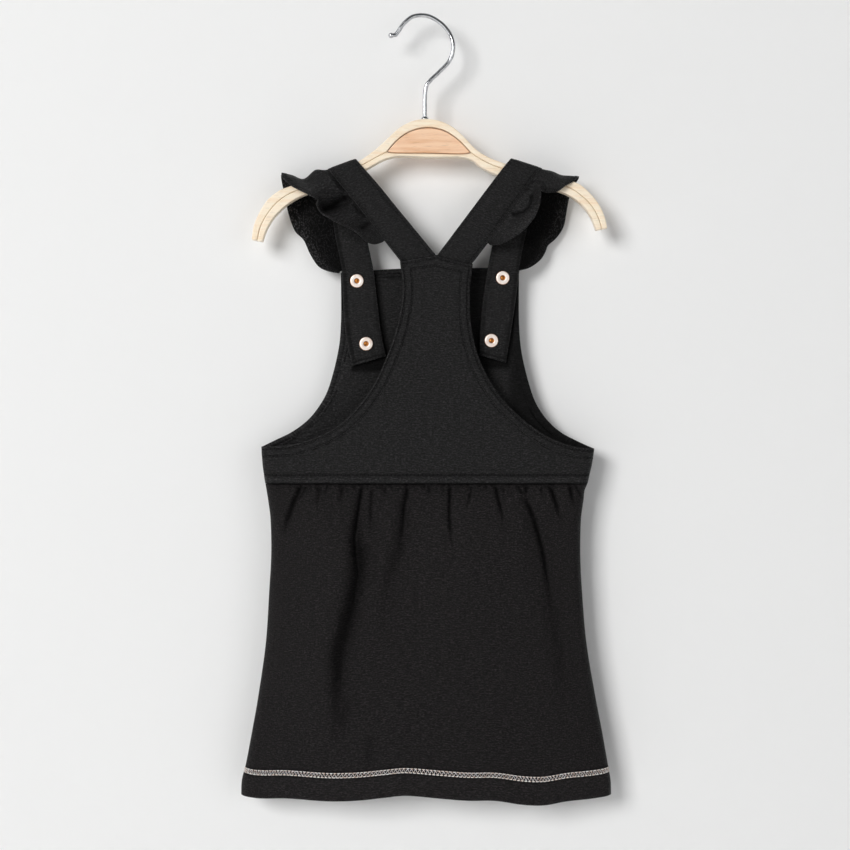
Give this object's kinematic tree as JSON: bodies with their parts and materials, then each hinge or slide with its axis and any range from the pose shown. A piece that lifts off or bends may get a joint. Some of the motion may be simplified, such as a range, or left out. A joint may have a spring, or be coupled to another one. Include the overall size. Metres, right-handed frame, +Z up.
{
  "type": "pinafore dress on a hanger",
  "caption": "Toddler pinafore dress in black sweatshirt jersey with ruffled crossed-back straps, ring snaps and a gathered skirt, hung by its back on a wooden hanger.",
  "frame": {"origin": "inner crown of the hanger's hook, where it rests on a rail or peg", "axes": "+Z up, +X to the right seen from the dress's back, -Y out of the back of the dress and +Y out of its front"},
  "size_m": [0.2907, 0.041, 0.6202],
  "materials": {
    "jersey": "black slub sweatshirt jersey, matt, with a looped wrong side",
    "snap_metal": "polished rose-gold plated brass",
    "hanger_wood": "pale beech ply with a clear satin lacquer",
    "panel_wood": "warmer beech face, satin lacquer",
    "hook_metal": "bright nickel-plated steel wire"
  },
  "bodies": {
    "root": {"skirt_back": "jersey", "skirt_front": "jersey", "bodice_back": "jersey", "bodice_front": "jersey", "strap_left": "jersey", "strap_right": "jersey", "ruffle_left": "jersey", "ruffle_right": "jersey", "snap_ring_upper_left": "snap_metal", "snap_ring_lower_left": "snap_metal", "snap_ring_upper_right": "snap_metal", "snap_ring_lower_right": "snap_metal", "snap_cap_left": "snap_metal", "snap_cap_right": "snap_metal", "hanger_frame": "hanger_wood", "hanger_panel": "panel_wood", "hanger_hook": "hook_metal", "hanger_collar": "hook_metal"}
  },
  "joints": []
}
